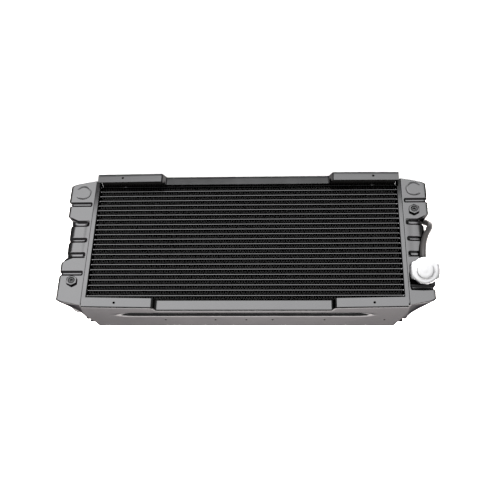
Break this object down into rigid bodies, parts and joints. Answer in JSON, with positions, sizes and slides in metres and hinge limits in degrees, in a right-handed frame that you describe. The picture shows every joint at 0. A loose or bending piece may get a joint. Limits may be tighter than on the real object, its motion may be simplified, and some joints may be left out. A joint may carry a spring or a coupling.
{
  "type": "engine coolant radiator",
  "caption": "Cross-flow coolant radiator: finned tube core between two pressed tanks, joggled side channels, filler neck with pressure cap, overflow hose.",
  "frame": {"origin": "on the ground under the middle of the object's bounding box, the hose left out", "axes": "+X along the tubes from the inlet tank to the outlet tank, +Y towards the installed bottom, +Z out of the front face; the radiator lies on its back"},
  "size_m": [0.813, 0.34, 0.1148],
  "materials": {
    "black_paint": "glossy black paint over pressed sheet",
    "core_black": "thin black spray over tubes and fins",
    "bright_zinc": "bright zinc plate",
    "spring_steel": "drawn spring wire",
    "valve_brass": "turned brass",
    "black_rubber": "matt moulded rubber",
    "plug_steel": "dark phosphated steel"
  },
  "bodies": {
    "root": {"tube_01": "core_black", "tube_02": "core_black", "tube_03": "core_black", "tube_04": "core_black", "tube_05": "core_black", "tube_06": "core_black", "tube_07": "core_black", "tube_08": "core_black", "tube_09": "core_black", "tube_10": "core_black", "tube_11": "core_black", "tube_12": "core_black", "tube_13": "core_black", "tube_14": "core_black", "tube_15": "core_black", "tube_16": "core_black", "tube_17": "core_black", "tube_18": "core_black", "tube_19": "core_black", "tube_20": "core_black", "tube_21": "core_black", "tube_22": "core_black", "tube_23": "core_black", "tube_24": "core_black", "fin_pack": "core_black", "upper_core_support": "core_black", "lower_core_support": "core_black", "left_header_plate": "black_paint", "right_header_plate": "black_paint", "left_tank": "black_paint", "right_tank": "black_paint", "upper_channel": "black_paint", "lower_channel": "black_paint", "filler_neck": "black_paint", "overflow_nipple": "black_paint", "inlet_spigot": "black_paint", "outlet_spigot": "black_paint", "drain_boss": "black_paint", "vent_boss": "black_paint", "overflow_hose": "black_rubber"},
    "cap_valve": {"cap_rivet": "bright_zinc", "diaphragm_spring": "spring_steel", "neck_seal": "black_rubber", "spring_cup": "bright_zinc", "pressure_spring": "spring_steel"},
    "cap_grip": {"cap_shell": "bright_zinc"},
    "pressure_valve": {"pressure_plate": "bright_zinc", "pressure_seal": "black_rubber", "vacuum_spring": "spring_steel"},
    "vacuum_valve_stem": {"vacuum_valve": "valve_brass"},
    "drain_seal_ring": {"drain_seal": "black_rubber"},
    "drain_screw": {"drain_plug": "plug_steel"},
    "vent_seal_ring": {"vent_seal": "black_rubber"},
    "vent_screw": {"vent_plug": "plug_steel"}
  },
  "joints": [
    {"name": "cap_lift", "type": "slide", "parent": "root", "child": "cap_valve", "axis": [0, -0.342, 0.9397], "range_m": [0, 0.04]},
    {"name": "cap_turn", "type": "hinge", "parent": "cap_valve", "child": "cap_grip", "pos_m": [0.37538, -0.09026, 0.10119], "axis": [0, -0.342, 0.9397], "range_deg": [0, 90]},
    {"name": "pressure_valve_lift", "type": "slide", "parent": "cap_valve", "child": "pressure_valve", "axis": [0, -0.342, 0.9397], "range_m": [0, 0.0025], "stiffness_N_per_m": 4000, "springref_m": -0.005, "deforming": ["pressure_spring"]},
    {"name": "vacuum_valve_drop", "type": "slide", "parent": "pressure_valve", "child": "vacuum_valve_stem", "axis": [0, 0.342, -0.9397], "range_m": [0, 0.0015], "stiffness_N_per_m": 300, "springref_m": -0.0015, "deforming": ["vacuum_spring"]},
    {"name": "drain_rise", "type": "slide", "parent": "root", "child": "drain_seal_ring", "axis": [0, 0, 1], "range_m": [0, 0.0121]},
    {"name": "drain_turn", "type": "hinge", "parent": "drain_seal_ring", "child": "drain_screw", "pos_m": [0.36638, 0.074, 0.081], "axis": [0, 0, 1], "range_deg": [0, 2880]},
    {"name": "vent_rise", "type": "slide", "parent": "root", "child": "vent_seal_ring", "axis": [0, 0, 1], "range_m": [0, 0.0121]},
    {"name": "vent_turn", "type": "hinge", "parent": "vent_seal_ring", "child": "vent_screw", "pos_m": [-0.37462, -0.102, 0.081], "axis": [0, 0, 1], "range_deg": [0, 2880]}
  ],
  "couplings": [
    {"joint": "drain_rise", "follows": "drain_turn", "m_per_rad": 0.00023873},
    {"joint": "vent_rise", "follows": "vent_turn", "m_per_rad": 0.00023873}
  ]
}
